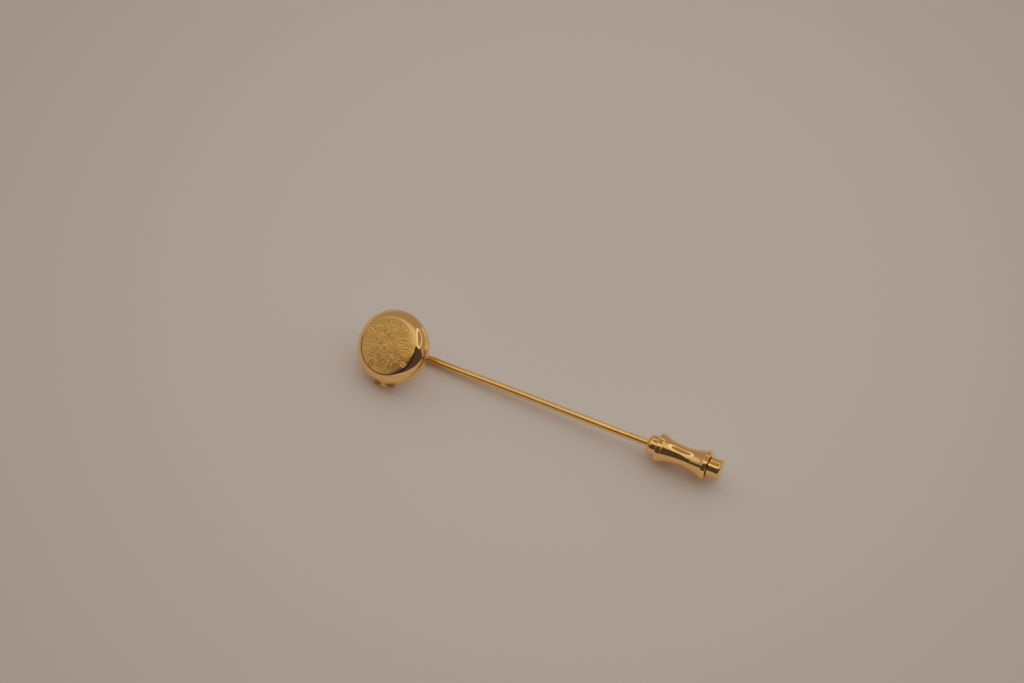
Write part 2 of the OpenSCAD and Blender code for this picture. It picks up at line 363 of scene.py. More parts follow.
def wire_path():
    """The middle line as (along the wire, towards the locket, heading, radius), from the locket's back."""
    pad = rounded([
        (0, 0), (0, PAD_R, 0.1), (PAD_T, PAD_R, 0.16), (PAD_T, NECK_R, 0.3),
        (STAND_OFF - BEND_TANGENT, NECK_R),
    ])
    path = []
    for way, radius in pad:
        left = STAND_OFF - way
        path.append((left * math.cos(LEAN), left * math.sin(LEAN), LEAN + math.pi, radius))
    lean = math.degrees(LEAN)
    for turn in np.linspace(lean + 90, 270, 21)[1:]:
        (x, y), = arc((BEND_TANGENT, BEND_R), BEND_R, turn, turn, 0)
        path.append((x, y, math.radians(turn + 90), NECK_R))
    clear_end = WIRE_RUN - END_MARGIN
    tip = WIRE_RUN + WIRE_GRIP
    for x in np.arange(BEND_TANGENT + 0.5, clear_end, 0.5):
        thinned = min(1, (x - BEND_TANGENT) / (NECK_LEN - BEND_TANGENT))
        path.append((x, 0.0, 0.0, NECK_R + (WIRE_R - NECK_R) * thinned))
    point = rounded([
        (clear_end, WIRE_R), (tip - POINT_LEN, GRIP_R, 4), (tip - 0.05, POINT_R, 0.1), (tip, 0),
    ])
    return path + [(x, 0.0, 0.0, radius) for x, radius in point]


def drawn_waver(x):
    """How far the drawn wire strays from straight, sideways and up, at the distance x along it."""
    inside = np.clip((x - 4) / 6, 0, 1) * np.clip((WIRE_RUN - END_MARGIN - x) / 6, 0, 1)
    return WAVER_SIDE * inside * math.sin(x / 5.1 + 0.6), WAVER_UP * inside * math.sin(x / 6.7 + 2.1)


def sweep_wire():
    """Points and faces of the wire in its own millimetres: X towards the locket, Z along it."""
    points, rings = [], []
    for x, z, heading, radius in wire_path():
        if radius < 1e-6:
            rings.append([len(points)] * WIRE_TURNS)
            points.append((z, 0.0, x))
            continue
        rings.append(list(range(len(points), len(points) + WIRE_TURNS)))
        side, rise = drawn_waver(x)
        for a in np.arange(WIRE_TURNS) * 2 * math.pi / WIRE_TURNS:
            out = radius * math.cos(a)
            towards_locket = z + out * math.cos(heading) + rise
            points.append((towards_locket, radius * math.sin(a) + side, x - out * math.sin(heading)))
    return points, join_rings(rings)


DARKENING_END, DARKENING_FADE, ROOT_DARKENING = 13.0, 7.0, 1.8

wire = make_piece("gold_wire", *sweep_wire(), on_wire)
along_wire = spots_of(wire, on_wire)[:, 2]
# Browner and darker towards the locket, fading out along the wire.
add_mark(wire, "cut", ROOT_DARKENING * np.clip((DARKENING_END - along_wire) / DARKENING_FADE, 0, 1))
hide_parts("stick_pin")
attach(wire, "pin")
print(measure(wire))

# %% [markdown]
# ## The shells of the locket
# Each half is pressed from sheet 0.4 mm thick, and a bead is soldered round its rim. The section of a
# half is one outline that runs over the outside, down the wall, round the bead and back along the
# inside. The two halves share the bead, so it comes first.

# %% The beaded rim
LOCKET_R, WALL, BEAD_R, BEAD_OUT, SEAM_GAP = 5.95, 0.4, 0.28, 0.08, 0.05
WALL_R = LOCKET_R - BEAD_OUT
INNER_R = WALL_R - WALL
BEAD_AT = (LOCKET_R - BEAD_R, BEAD_R + SEAM_GAP / 2)
BEAD_ON_WALL = math.degrees(math.acos((WALL_R - BEAD_AT[0]) / BEAD_R))


def rim_outline(start):
    """From the angle start on the outside of the bead, round it and over the rim to the inner wall."""
    bead = arc(BEAD_AT, BEAD_R, start, -90, 18)
    inner = rounded([bead[-1], (INNER_R, SEAM_GAP / 2, 0.05), (INNER_R, 0.3)])
    return bead + inner[1:-1]


# %% [markdown]
# ## Hinge knuckles
# Three short tubes on one pin make the hinge. Each is soldered to its half with a small strap, and the
# solder flows into a hollow fillet. Booleans cut room for the neighbours' knuckles, join the tube to
# its rim and drill it, because a notch that meets a round bead is hard to model by hand and easy to
# cut. They are done in the locket's own millimetres: a boolean works best near the size of 1. After
# each half we print its volume, because a boolean that goes wrong shows in the volume first.

# %% Knuckles and cutters
KNUCKLE_R, KNUCKLE_LEN, KNUCKLE_GAP, KNUCKLE_ROOM = 0.4, 1.1, 0.06, 0.05
STRAP_IN, STRAP_H = 0.62, 0.34
PIN_R, PIN_CLEARANCE = 0.2, 0.03
KNUCKLE_PITCH = KNUCKLE_LEN + KNUCKLE_GAP
HINGE_HALF = 1.5 * KNUCKLE_LEN + KNUCKLE_GAP
AS_MADE = Matrix.Identity(4)
hinge_place = Matrix.Rotation(hinge_turn, 4, "Z") @ Matrix.Translation((HINGE_X, 0, 0))
along_hinge = hinge_place @ Matrix.Rotation(math.radians(-90), 4, "X")


def rod(name, radius, middle, length, edge, place=along_hinge):
    """A plain rod on the hinge's line, with rounded edges."""
    low, high = middle - length / 2, middle + length / 2
    outline = rounded([(0, low), (radius, low, edge), (radius, high, edge), (0, high)])
    return make_piece(name, *spin(outline, 96), place)


def strap(name, middle, side):
    """The solder strap between a knuckle and its rim, above the seam for side 1."""
    low, high = SEAM_GAP / 2, SEAM_GAP / 2 + STRAP_H
    outline = rounded([
        (-STRAP_IN, low), (0, low, 0), (0.02, KNUCKLE_R - 0.02, 0), (-0.16, high + 0.02, 0.25),
        (-STRAP_IN, high + 0.04),
    ])
    half = KNUCKLE_LEN / 2 - 0.01
    points = [(x, middle + end * half, side * z) for end in (-1, 1) for x, z in outline]
    n = len(outline)
    faces = [tuple(range(n)), tuple(range(n, 2 * n))]
    faces += [(i, (i + 1) % n, (i + 1) % n + n, i + n) for i in range(n)]
    return make_piece(name, points, faces, hinge_place)


def combine(piece, other, operation):
    """Cuts the other out of the piece, or joins it on, and throws it away."""
    modifier = piece.modifiers.new("combine", "BOOLEAN")
    modifier.operation = operation
    modifier.solver = "MANIFOLD"
    modifier.object = other
    seen = bpy.context.evaluated_depsgraph_get()
    mesh = bpy.data.meshes.new_from_object(piece.evaluated_get(seen))
    piece.modifiers.clear()
    piece.data = mesh
    bpy.data.objects.remove(other)


def add_knuckles(shell, middles, side, drill_r):
    """Room for the other half's knuckles, this half's own at these places, and the pin's hole."""
    others = [y for y in (-KNUCKLE_PITCH, 0, KNUCKLE_PITCH) if y not in middles]
    for middle in others:
        room = rod("room", KNUCKLE_R + KNUCKLE_ROOM, middle, KNUCKLE_LEN + 2 * KNUCKLE_GAP, 0)
        combine(shell, room, "DIFFERENCE")
    print("  with room:", measure(shell, 1))
    for middle in middles:
        combine(shell, strap("strap", middle, side), "UNION")
        combine(shell, rod("knuckle", KNUCKLE_R, middle, KNUCKLE_LEN, 0.04), "UNION")
    print("  with knuckles:", measure(shell, 1))
    combine(shell, rod("drill", drill_r, 0, 3 * HINGE_HALF, 0), "DIFFERENCE")
    print("  drilled:", measure(shell, 1))


# %% [markdown]
# ## The back
# The back half is a plain pressed shell: a flat back, a rounded shoulder and a wall. The photograph
# hides it, so it carries no pattern. A subdivided cylinder could be pulled into this shape by hand, but
# an outline keeps the sheet's thickness the same everywhere. The two outer knuckles are soldered to
# it, and their points are marked, so that the gold darkens them with painted shade.

# %% Make the back
BACK_H, SHOULDER_R = 2.1, 1.2
BACK_TURNS = 480
HINGE_PAINTED_SHADE = 2.8

back_outline = [(r, -h) for r, h in (
    rounded([(0, BACK_H), (WALL_R, BACK_H, SHOULDER_R), (WALL_R, 0.6)])
    + rim_outline(BEAD_ON_WALL)
    + rounded([(INNER_R, 0.3), (INNER_R, BACK_H - WALL, SHOULDER_R - WALL), (0, BACK_H - WALL)])
)]
back = make_piece("locket_back_shell", *spin(back_outline, BACK_TURNS), AS_MADE)
add_knuckles(back, (-KNUCKLE_PITCH, KNUCKLE_PITCH), -1, PIN_R + 0.01)
# Painted shade on the back's knuckles and the shell close round the hinge's line.
spots = spots_of(back, along_hinge)
add_mark(back, "cut", HINGE_PAINTED_SHADE * (np.hypot(spots[:, 0], spots[:, 1]) < KNUCKLE_R + 0.02))
back.data.transform(in_locket)
finish_shading(back.data)
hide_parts("locket_back")
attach(back, "pin")
print(measure(back))

# %% [markdown]
# ## The hinge's pin
# A short length of wire runs through all three knuckles. It is tight in the outer two and loose in the
# middle one, so the cover can swing. The helper that makes the knuckles makes this rod as well.

# %% Make the hinge's pin
hinge_pin = rod("hinge_rivet", PIN_R, 0, 2 * HINGE_HALF, 0.06, in_locket @ along_hinge)
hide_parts("hinge_pin")
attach(hinge_pin, "pin")
print(measure(hinge_pin))

# %% [markdown]
# ## The cover
# The outside of the cover is four arcs that run on in each other: a very low dome, a small rounding at
# the edge of the face, a broad bevel that is a little round itself, and the foot of the bevel. Where
# one arc hands over to the next they share a slope, so a reflection runs on without a kink. Between the
# foot and the bead lies a narrow notch, which the solder left open. It is dark, partly from its depth
# and partly from painted shade, and sets off the bead.

# %% Outline of the cover
COVER_H = 1.95
FACE_SLOPE, BEVEL_START, BEVEL_END = 3, 28, 60
EDGE_R, BEVEL_R, FOOT_R = 0.35, 2.8, 0.7


def on_arc(centre, radius, slope):
    """The point of an arc where its surface slopes down by so many degrees."""
    a = math.radians(slope)
    return centre[0] + radius * math.sin(a), centre[1] + radius * math.cos(a)


def cosine(degrees):
    return math.cos(math.radians(degrees))


BEVEL_RISE = (
    FOOT_R * cosine(BEVEL_END)
    + BEVEL_R * (cosine(BEVEL_START) - cosine(BEVEL_END))
    + EDGE_R * (cosine(FACE_SLOPE) - cosine(BEVEL_START))
)
FOOT_MID = (WALL_R - FOOT_R, COVER_H - BEVEL_RISE)
BEVEL_MID = on_arc(FOOT_MID, FOOT_R - BEVEL_R, BEVEL_END)
EDGE_MID = on_arc(BEVEL_MID, BEVEL_R - EDGE_R, BEVEL_START)
FACE_R, FACE_EDGE_H = on_arc(EDGE_MID, EDGE_R, FACE_SLOPE)
DOME_R = FACE_R / math.sin(math.radians(FACE_SLOPE))


def bevel_outline(inset, foot_end, bevel_steps, foot_steps):
    """The bevel and its foot, set in by the thickness of the metal."""
    bevel = arc(BEVEL_MID, BEVEL_R - inset, 90 - BEVEL_START, 90 - BEVEL_END, bevel_steps)
    return bevel + arc(FOOT_MID, FOOT_R - inset, 90 - BEVEL_END, foot_end, foot_steps)[1:]


NOTCH_AT = (WALL_R - 0.15, 0.63)
edge_points = arc(EDGE_MID, EDGE_R, 90 - FACE_SLOPE, 90 - BEVEL_START, 7)[:-1]
EDGE_WIDTH = edge_points[-1][0] - FACE_R
inside_points = bevel_outline(WALL, 3, 6, 4)[::-1]
cover_outline = edge_points + bevel_outline(0, 18, 14, 5) + [NOTCH_AT] + rim_outline(76)
cover_outline += inside_points + [(0, inside_points[-1][1])]
print("points in the cover's outline:", len(cover_outline))
print("radius of the cover's face:", round(FACE_R, 3), "mm")

# %% [markdown]
# ## The engraving
# The face is cut by hand with a graver: a fine spray of blossoms and leaves. A graver's stroke starts
# thin, swells and ends thin. Each stroke here is a curve with a width and a depth. The pattern is laid
# out anew in the same traditional manner.

# %% Strokes of the graver
OUTLINE_CUT = 0.022
SHADE_CUT = 0.013
strokes = []


def cut(curve, width=0.12, depth=OUTLINE_CUT, taper=True):
    """Adds one stroke along a curve of (x, y) points in millimetres on the face."""
    strokes.append((np.array(curve, float), width / 2, depth, taper))


def bent_line(start, end, bulge, steps=10):
    """A curve from start to end that bows sideways by bulge times its length."""
    start, end = np.array(start, float), np.array(end, float)
    way = end - start
    side = np.array((-way[1], way[0]))
    t = np.linspace(0, 1, steps + 1)[:, None]
    return start + way * t + side * bulge * 4 * t * (1 - t)


def polar(centre, angle, distance):
    """The point at an angle in degrees and a distance from a centre."""
    a = math.radians(angle)
    return centre[0] + distance * math.cos(a), centre[1] + distance * math.sin(a)


def petal(centre, angle, inner, outer, spread):
    """A petal: two bowed sides that meet in a tip, and fine shading strokes at its root."""
    foot, tip = polar(centre, angle, inner), polar(centre, angle, outer)
    cut(bent_line(foot, tip, spread))
    cut(bent_line(foot, tip, -spread))
    for turn in (-9, 0, 9):
        start = polar(centre, angle + turn * 1.6, inner * 1.1)
        end = polar(centre, angle + turn, inner + (outer - inner) * 0.55)
        cut(bent_line(start, end, 0), 0.1, SHADE_CUT)


def blossom(centre, size, petals, turn):
    """A flower of pointed petals round a ring of small cuts."""
    for i in range(petals):
        petal(centre, turn + i * 360 / petals, size * 0.24, size, 0.34)
    for i in range(8):
        a = turn + i * 45
        cut([polar(centre, a, size * 0.08), polar(centre, a, size * 0.19)], 0.1, OUTLINE_CUT, False)


def leaf(foot, angle, length, fat, veins=4):
    """A leaf: two bowed sides, a mid rib and slanting veins on one half."""
    tip = polar(foot, angle, length)
    cut(bent_line(foot, tip, fat), 0.17)
    cut(bent_line(foot, tip, -fat), 0.17)
    cut([foot, polar(foot, angle, length * 0.86)], 0.1, SHADE_CUT)
    for i in range(veins):
        share = 0.2 + 0.6 * i / veins
        root = polar(foot, angle, length * share)
        reach = length * fat * 1.35 * math.sin(math.pi * (share + 0.12))
        cut([root, polar(root, angle - 42, reach)], 0.09, SHADE_CUT)


def hatch(start, step, along, strokes_in_row, shrink=0.0):
    """A row of side by side strokes, each moved on by step."""
    for i in range(strokes_in_row):
        foot = np.array(start, float) + np.array(step) * i
        way = np.array(along) * (1 - shrink * i)
        cut(bent_line(foot, foot + way, 0.06), 0.12, SHADE_CUT)


def curl(centre, radius, start, turns):
    """A tendril that winds in on itself."""
    t = np.linspace(0, 1, 22)
    angles = np.radians(start + turns * 360 * t)
    sizes = radius * (1 - 0.72 * t)
    cut(np.stack((centre[0] + sizes * np.cos(angles), centre[1] + sizes * np.sin(angles)), 1), 0.13)


# %% [markdown]
# The engraver sets out the flowers first, then the stems and leaves, and last fills what is empty with
# rows of shading and tendrils. We follow the same order, with the places given one by one. A picture of a
# pattern could be pressed into the face instead, but strokes stay sharp at any distance.

# %% Lay out the spray
blossom((-0.45, 1.05), 1.75, 6, 12)
blossom((0.95, -1.95), 1.3, 5, 40)
blossom((-2.75, -1.0), 0.85, 5, 0)
cut(bent_line((0.0, -0.45), (0.5, -1.0), 0.2))
cut(bent_line((-1.3, -0.1), (-2.1, -0.6), -0.15))
cut(bent_line((1.3, 0.5), (3.6, 0.3), 0.08))
cut(bent_line((-2.2, 2.0), (-3.5, 2.2), 0.2))
for foot, angle, length, fat in (
    ((1.35, 1.1), 34, 2.2, 0.2),
    ((1.7, 0.3), -16, 2.3, 0.18),
    ((2.3, -1.3), -12, 1.7, 0.2),
    ((1.9, -2.6), -44, 1.6, 0.2),
    ((-0.2, -2.2), 206, 2.0, 0.18),
    ((-1.9, 2.0), 138, 2.0, 0.2),
    ((0.3, 2.7), 76, 1.5, 0.24),
    ((-2.3, 0.9), 168, 1.8, 0.18),
    ((-2.6, -1.9), 240, 1.6, 0.2),
    ((0.3, -3.0), 262, 1.3, 0.22),
    ((-1.2, -1.2), 230, 1.3, 0.2),
    ((2.0, 1.9), 62, 1.5, 0.2),
):
    leaf(foot, angle, length, fat)
hatch((-4.1, -0.6), (0.2, 0.02), (0.05, 1.3), 6, 0.05)
hatch((-2.9, 0.1), (0.2, 0.04), (0.02, 0.8), 4, 0.05)
hatch((-2.0, -3.2), (0.2, -0.1), (0.45, 0.55), 5, 0.05)
hatch((2.2, -0.75), (0.22, -0.02), (0.3, -0.4), 6, 0.04)
hatch((0.9, 3.3), (0.2, -0.08), (0.28, 0.45), 5, 0.04)
hatch((-1.6, 3.0), (0.18, 0.06), (-0.3, 0.55), 5, 0.04)
hatch((-3.7, 1.0), (0.17, 0.05), (-0.05, 0.75), 5, 0.05)
hatch((-1.2, 0.2), (0.16, -0.03), (0.04, 0.5), 6, 0.04)
hatch((-0.9, 1.5), (0.16, 0.02), (0.02, 0.55), 6, 0.04)
hatch((2.6, 0.9), (0.05, 0.16), (0.9, 0.05), 5, 0.05)
hatch((0.4, -1.4), (0.15, -0.1), (0.35, 0.4), 5, 0.04)
hatch((-1.3, -2.6), (0.16, -0.06), (0.2, 0.6), 5, 0.04)
hatch((1.2, 2.4), (0.17, -0.05), (0.12, 0.6), 5, 0.04)
curl((3.3, 2.2), 0.45, 200, 1.2)
curl((-0.9, -0.95), 0.4, 20, -1.2)
curl((3.9, -0.5), 0.35, 90, -1.1)
curl((-0.5, 3.4), 0.4, 130, 1.1)

print("strokes on the face:", len(strokes))

# %% [markdown]
# ## The face
# The engraved lines are real cuts here, not a bump map: the face is a fine net of triangles, and each
# point sinks by the depth of the stroke it lies in. The ring of six points round the middle grows by six
# points with each ring, so all triangles have nearly the same size. Thin pressed sheet is never quite flat
# either, so a slow swell of a few thousandths of a millimetre runs over it.

# %% Net for the face
FACE_RINGS = 120
SWELL_H, SWELL_FADE = 0.0016, 0.8


def face_height(points):
    """Height of the plain face: the dome and its slow swell, which dies out towards the edge."""
    x, y = points[:, 0], points[:, 1]
    radius = np.hypot(x, y)
    dome = FACE_EDGE_H - DOME_R * cosine(FACE_SLOPE) + np.sqrt(DOME_R ** 2 - radius ** 2)
    swell = np.sin(1.9 * x + 0.7 * y + 0.4) + np.sin(-1.1 * x + 2.3 * y + 1.7) + np.sin(3.1 * x - 1.3 * y)
    return dome + SWELL_H * swell * np.clip((FACE_R - radius) / SWELL_FADE, 0, 1)


def face_net():
    """Points (x, y) and triangles of the net."""
    points = [(0.0, 0.0)]
    for ring in range(1, FACE_RINGS + 1):
        radius = FACE_R * ring / FACE_RINGS
        angles = np.arange(6 * ring) * math.pi / (3 * ring)
        points += list(zip(radius * np.cos(angles), radius * np.sin(angles)))
    triangles = []
    for ring in range(FACE_RINGS):
        inner = 1 + 3 * ring * (ring - 1) if ring else 0
        outer = 1 + 3 * (ring + 1) * ring
        around_in, around_out = max(1, 6 * ring), 6 * (ring + 1)
        for sector in range(6):
            for i in range(ring + 1):
                low = inner + (sector * ring + i) % around_in
                high = outer + (sector * (ring + 1) + i) % around_out
                high_next = outer + (sector * (ring + 1) + i + 1) % around_out
                triangles.append((low, high, high_next))
                if i < ring:
                    low_next = inner + (sector * ring + i + 1) % around_in
                    triangles.append((low, high_next, low_next))
    return np.array(points), triangles


# %% [markdown]
# A graver's groove is deepest on its middle line and rises to both sides. So each point of the net looks
# for its distance to the middle line of a stroke, and for how far along the stroke it lies, and sinks
# by the depth there. Only the points in a stroke's own box are asked, which keeps this quick.

# %% Sink the strokes
SPRAY_TURN = math.radians(24)


def stroke_depth(points):
    """How deep the graver went at each point of the face, in millimetres."""
    x = points[:, 0] * math.cos(SPRAY_TURN) + points[:, 1] * math.sin(SPRAY_TURN)
    y = points[:, 1] * math.cos(SPRAY_TURN) - points[:, 0] * math.sin(SPRAY_TURN)
    spots = np.stack((x, y), 1)
    deepest = np.zeros(len(spots))
    for curve, half_width, depth, taper in strokes:
        lengths = np.r_[0, np.cumsum(np.linalg.norm(np.diff(curve, axis=0), axis=1))]
        margin = 2 * half_width
        near = np.all((spots > curve.min(0) - margin) & (spots < curve.max(0) + margin), axis=1)
        index = np.nonzero(near)[0]
        if not len(index):
            continue
        here = spots[index]
        gap = np.full(len(index), 9.0)
        share = np.zeros(len(index))
        for start, end, done in zip(curve, curve[1:], lengths):
            way = end - start
            size = max(way @ way, 1e-12)
            t = np.clip((here - start) @ way / size, 0, 1)
            distance = np.linalg.norm(here - start - t[:, None] * way, axis=1)
            closer = distance < gap
            gap[closer] = distance[closer]
            share[closer] = (done + t[closer] * math.sqrt(size)) / lengths[-1]
        swell = np.sin(math.pi * np.clip(share, 0.02, 0.98)) ** 0.6 if taper else np.ones(len(index))
        reach = np.maximum(half_width * swell, 1e-3)
        groove = depth * swell * np.clip(1 - (gap / reach) ** 1.6, 0, 1)
        deepest[index] = np.maximum(deepest[index], groove)
    return deepest


net_points, net_faces = face_net()
net_grooves = stroke_depth(net_points)
net_height = face_height(net_points) - net_grooves
print("net:", len(net_faces), "triangles, deepest cut", round(net_grooves.max(), 3), "mm")

# %% [markdown]
# The cover is first closed with one plain face, so that the booleans work on a solid. After them that
# face comes off and the engraved net takes its place. Each point then keeps two marks that the gold
# reads: how deep it is cut, and how far in it lies on the face, which is a little duller than the
# polished bevel. The first mark also carries painted shade in the notch, and a painted dark reflection
# on the edge of the face: a dark line on the hinge's side that fades on the far side.

# %% Make the cover
WORKED_BAND = 0.5
# Strength of the painted shade in the notch and of the painted dark reflection on the face's edge.
NOTCH_PAINTED_SHADE, EDGE_PAINTED_REFLECTION = 2.4, 2.7
WELD = 0.002
shell_points, shell_faces = spin(cover_outline, 6 * FACE_RINGS)
shell_faces.append(tuple(range(6 * FACE_RINGS)))
cover = make_piece("locket_cover_shell", shell_points, shell_faces, AS_MADE)
add_knuckles(cover, (0,), 1, PIN_R + PIN_CLEARANCE)


def set_face(piece):
    """Takes off the plain face and welds the engraved net on in its place."""
    shape = bmesh.new()
    shape.from_mesh(piece.data)
    plain = max(shape.faces, key=lambda face: len(face.verts))
    bmesh.ops.delete(shape, geom=[plain], context="FACES_ONLY")
    added = [shape.verts.new((x, y, z)) for (x, y), z in zip(net_points, net_height)]
    for corners in net_faces:
        shape.faces.new([added[i] for i in corners])
    bmesh.ops.remove_doubles(shape, verts=shape.verts, dist=WELD)
    bmesh.ops.recalc_face_normals(shape, faces=shape.faces)
    shape.to_mesh(piece.data)
    shape.free()


def mark_points(piece):
    """Keeps how deep each point is cut, the painted notch shade and edge reflection, and how much it
    belongs to the face.
    """
    spots = spots_of(piece, AS_MADE)
    radius = np.hypot(spots[:, 0], spots[:, 1])
    on_face = (radius < FACE_R + 0.01) & (spots[:, 2] > COVER_H - 0.1)
    # Painted shade in the notch.
    in_notch = np.hypot(radius - NOTCH_AT[0], spots[:, 2] - NOTCH_AT[1]) < 0.15
    # Painted dark reflection on the edge of the face, strongest on the hinge's side.
    on_edge = (np.abs(radius - FACE_R - EDGE_WIDTH) < EDGE_WIDTH + 0.02) & (spots[:, 2] > COVER_H - 0.3)
    across = spots[:, 0] * math.cos(hinge_turn) + spots[:, 1] * math.sin(hinge_turn)
    to_hinge = across / np.maximum(radius, 0.1)
    hinge_side = np.clip((to_hinge + 0.45) / 0.4, 0, 1)
    elsewhere = np.maximum(NOTCH_PAINTED_SHADE * in_notch, EDGE_PAINTED_REFLECTION * on_edge * hinge_side)
    add_mark(piece, "cut", np.where(on_face, stroke_depth(spots[:, :2]) / OUTLINE_CUT, elsewhere))
    add_mark(piece, "face", np.where(on_face, np.clip((FACE_R - radius) / WORKED_BAND, 0, 1), 0))


set_face(cover)
mark_points(cover)
cover.data.transform(in_locket)
finish_shading(cover.data)
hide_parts("locket_cover")
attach(cover, "cover")
print(measure(cover))

# %% [markdown]
# ## Gold
# Polished gold plate has no pattern of its own: it shows the room, tinted. So the light comes first in
# this material, and its nodes add what polish leaves behind: a soft unevenness, about two
# millimetres across, that bends the reflections, a grain that follows the tool, and tarnish in the cut
# lines. The same dark colour is also painted shade in narrow gaps, in the notch and on the hinge, a
# painted dark reflection on the edge of the face, and a browner wire near the locket. The grain is
# noise that is stretched along the drawn wire, and round the turned clutch.

# %% Node helpers
def add_node(tree, kind, inputs, **settings):
    """A new node with its settings and inputs, where an input is a value or another node's output."""
    node = tree.nodes.new(kind)
    for name, value in settings.items():
        setattr(node, name, value)
    for key, value in inputs.items():
        if isinstance(value, bpy.types.NodeSocket):
            tree.links.new(value, node.inputs[key])
        else:
            node.inputs[key].default_value = value
    return node


def calculate(tree, operation, *values):
    """The result of a Math node."""
    return add_node(tree, "ShaderNodeMath", dict(enumerate(values)), operation=operation).outputs[0]


def ease(tree, value, low, high):
    """A smooth step from 0 at low to 1 at high."""
    inputs = {"Value": value, "From Min": low, "From Max": high}
    return add_node(tree, "ShaderNodeMapRange", inputs, interpolation_type="SMOOTHSTEP").outputs[0]


def blend(tree, share, first, second):
    """A colour between two, where a colour is three numbers or another node's output."""
    inputs = {0: share}
    for key, colour in ((6, first), (7, second)):
        inputs[key] = colour if isinstance(colour, bpy.types.NodeSocket) else (*colour, 1)
    return add_node(tree, "ShaderNodeMix", inputs, data_type="RGBA").outputs[2]


# %% [markdown]
# One function makes all three golds. The locket is polished evenly, the clutch keeps a trace of the
# lathe, and the drawn wire is much duller. An image could hold such marks, but noise needs no
# unwrapping and has no seam.

# %% Gold plate
GOLD = (0.97, 0.665, 0.255)
# Dark colour for tarnish in the engraving, and for painted shade and a painted dark reflection.
TARNISH_AND_SHADE = (0.27, 0.18, 0.11)
FULL_TARNISH_AND_SHADE, MOST_TARNISH_AND_SHADE = 3.0, 0.8


def gold_plate(name, roughness, grain, worked=0.0):
    """Polished plate. grain says how long its marks are along, across and up from the wire."""
    material = bpy.data.materials.new(name)
    material.use_nodes = True
    tree = material.node_tree
    shader = tree.nodes["Principled BSDF"]
    shader.inputs["Metallic"].default_value = 1
    place = add_node(tree, "ShaderNodeTexCoord", {}).outputs["Object"]
    turned = {"Vector": place, "Rotation": wire_line.to_track_quat("X", "Z").to_euler(), "Scale": grain}
    along = add_node(tree, "ShaderNodeMapping", turned, vector_type="TEXTURE").outputs[0]
    noise = {"Vector": along, "Scale": 2600.0, "Detail": 4.0, "Roughness": 0.6}
    marks = add_node(tree, "ShaderNodeTexNoise", noise).outputs[0]
    noise = {"Vector": place, "Scale": 420.0, "Detail": 2.0, "Roughness": 0.5}
    broad = add_node(tree, "ShaderNodeTexNoise", noise).outputs[0]

    tarnish_and_shade_mark = add_node(tree, "ShaderNodeAttribute", {}, attribute_name="cut").outputs["Fac"]
    face_mark = add_node(tree, "ShaderNodeAttribute", {}, attribute_name="face").outputs["Fac"]
    colour = blend(tree, broad, [value * 0.96 for value in GOLD], GOLD)
    # Darkening by the cut mark: tarnish in engraved lines, painted shade in the gaps, the notch and the
    # hinge, a painted dark reflection on the face's edge, and a browner wire near the locket.
    tarnish_and_shade = calculate(tree, "MULTIPLY", ease(tree, tarnish_and_shade_mark, 0.1, FULL_TARNISH_AND_SHADE), MOST_TARNISH_AND_SHADE)
    colour = blend(tree, tarnish_and_shade, colour, TARNISH_AND_SHADE)
    tree.links.new(colour, shader.inputs["Base Color"])

    spread = {
        "Value": marks, "From Min": 0.3, "From Max": 0.7,
        "To Min": roughness * 0.7, "To Max": roughness * 1.3,
    }
    rough = add_node(tree, "ShaderNodeMapRange", spread).outputs[0]
    rough = calculate(tree, "ADD", rough, calculate(tree, "MULTIPLY", face_mark, worked))
    tree.links.new(rough, shader.inputs["Roughness"])

    slow = {"Strength": 0.1, "Distance": 0.0002, "Height": broad}
    ripple = add_node(tree, "ShaderNodeBump", slow).outputs[0]
    fine = {"Strength": 0.04, "Distance": 0.00002, "Height": marks, "Normal": ripple}
    tree.links.new(add_node(tree, "ShaderNodeBump", fine).outputs[0], shader.inputs["Normal"])
    return material


locket_gold = gold_plate("locket gold", 0.06, (1, 1, 1), 0.10)
wire_gold = gold_plate("wire gold", 0.26, (25, 1, 1))
clutch_gold = gold_plate("clutch gold", 0.06, (1, 14, 14))
for piece, material in (
    (back, locket_gold), (cover, locket_gold), (hinge_pin, locket_gold),
    (wire, wire_gold), (clutch_body, clutch_gold), (knob, clutch_gold),
):
    piece.data.materials.clear()
    piece.data.materials.append(material)
print("golds:", ", ".join(material.name for material in (locket_gold, wire_gold, clutch_gold)))

# %% [markdown]
# ## The table
# The pin lies on plain pale card, large enough that its far edge is the horizon in the polished metal.
# Some of its brightness is emission. That stands for warm light that the tent and the gold throw back,
# and keeps the shadows from going black. The light falls off a little towards the picture's corners.
# Beyond the picture the card is bright again, for the few places on the gold that mirror its far part.

# %% The card
FLOOR_HALF = 3.0
CARD = (0.595, 0.535, 0.490)
CARD_GLOW = (0.060, 0.040, 0.024)
LIT_MIDDLE = (-0.005, 0.025, 0.0)
DIMMING = (0.03, 0.13)
FAR_CARD = (0.182, 0.286)
CORNER_SHADE = 0.85
FAR_GLOW = 2.0


def flat_sheet(name, x_low, x_high, y_low, y_high, z):
    """A level rectangle, with its sides in metres."""
    corners = [(x_low, y_low, z), (x_high, y_low, z), (x_high, y_high, z), (x_low, y_high, z)]
    return make_piece(name, corners, [(0, 1, 2, 3)], AS_MADE)


def plain_material(name, colour, glow):
    """A matt material that also glows a little."""
    material = bpy.data.materials.new(name)
    material.use_nodes = True
    shader = material.node_tree.nodes["Principled BSDF"]
    shader.inputs["Base Color"].default_value = (*colour, 1)
    shader.inputs["Roughness"].default_value = 0.9
    shader.inputs["Specular IOR Level"].default_value = 0.1
    shader.inputs["Emission Color"].default_value = (*glow, 1)
    shader.inputs["Emission Strength"].default_value = 1
    return material


